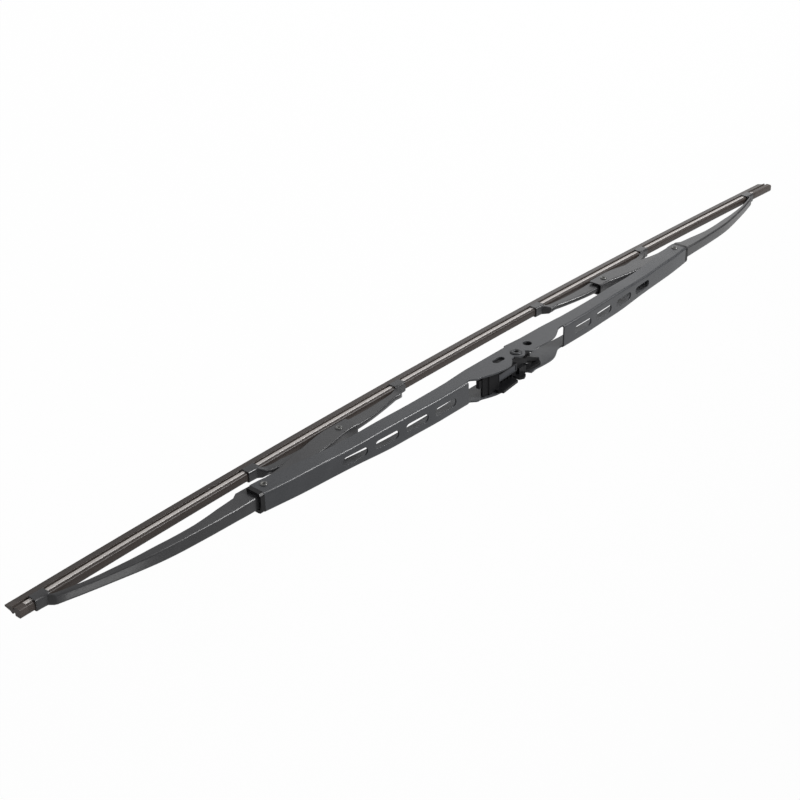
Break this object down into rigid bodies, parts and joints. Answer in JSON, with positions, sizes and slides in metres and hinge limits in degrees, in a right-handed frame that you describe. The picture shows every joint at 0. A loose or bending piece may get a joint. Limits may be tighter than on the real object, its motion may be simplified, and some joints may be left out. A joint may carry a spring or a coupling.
{
  "type": "wiper blade",
  "caption": "Framed windscreen wiper blade: slotted steel bridge, pivoting levers and yokes with claws, and a bowed rubber strip with steel rails.",
  "frame": {"origin": "on the centre rivet's axis, midway between the two cheeks of the bridge", "axes": "+X along the blade towards the end where the rubber stands out further; +Z from the wiping lip to the spine of the bridge; +Y across the blade"},
  "size_m": [0.5981, 0.0146, 0.0478],
  "materials": {
    "bridge": "satin powder coat",
    "levers": "satin powder coat",
    "rivets": "worn satin coat on steel",
    "liners": "matte moulded",
    "adapter": "matte moulded",
    "rubber": "smooth, slightly glossy",
    "rails": "bright rolled edge"
  },
  "bodies": {
    "bridge": {"primary_bridge": "bridge", "centre_rivet": "rivets", "lever_rivet_left": "rivets", "lever_rivet_right": "rivets", "lever_liner_left": "liners", "lever_liner_right": "liners", "rubber_strip": "rubber", "rail_near": "rails", "rail_far": "rails"},
    "adapter": {"adapter_clip": "adapter"},
    "left_lever": {"lever_left": "levers", "yoke_rivet_left": "rivets", "yoke_liner_left": "liners"},
    "right_lever": {"lever_right": "levers", "yoke_rivet_right": "rivets", "yoke_liner_right": "liners"},
    "left_yoke": {"yoke_left": "levers"},
    "right_yoke": {"yoke_right": "levers"}
  },
  "joints": [
    {"name": "adapter_pivot", "type": "hinge", "parent": "bridge", "child": "adapter", "pos_m": [0, 0, 0], "axis": [0, 1, 0], "range_deg": [-12, 12]},
    {"name": "lever_left_pivot", "type": "hinge", "parent": "bridge", "child": "left_lever", "pos_m": [-0.16912, 0, -0.0106], "axis": [0, 1, 0], "range_deg": [-5, 5], "stiffness_Nm_per_rad": 1, "deforming": ["rubber_strip", "rail_near", "rail_far"]},
    {"name": "lever_right_pivot", "type": "hinge", "parent": "bridge", "child": "right_lever", "pos_m": [0.16912, 0, -0.0106], "axis": [0, 1, 0], "range_deg": [-5, 5], "stiffness_Nm_per_rad": 1, "deforming": ["rubber_strip", "rail_near", "rail_far"]},
    {"name": "yoke_left_pivot", "type": "hinge", "parent": "left_lever", "child": "left_yoke", "pos_m": [-0.11018, 0, -0.0212], "axis": [0, 1, 0], "range_deg": [-5, 5], "stiffness_Nm_per_rad": 0.3, "deforming": ["rubber_strip", "rail_near", "rail_far"]},
    {"name": "yoke_right_pivot", "type": "hinge", "parent": "right_lever", "child": "right_yoke", "pos_m": [0.11018, 0, -0.0212], "axis": [0, 1, 0], "range_deg": [-5, 5], "stiffness_Nm_per_rad": 0.3, "deforming": ["rubber_strip", "rail_near", "rail_far"]}
  ]
}
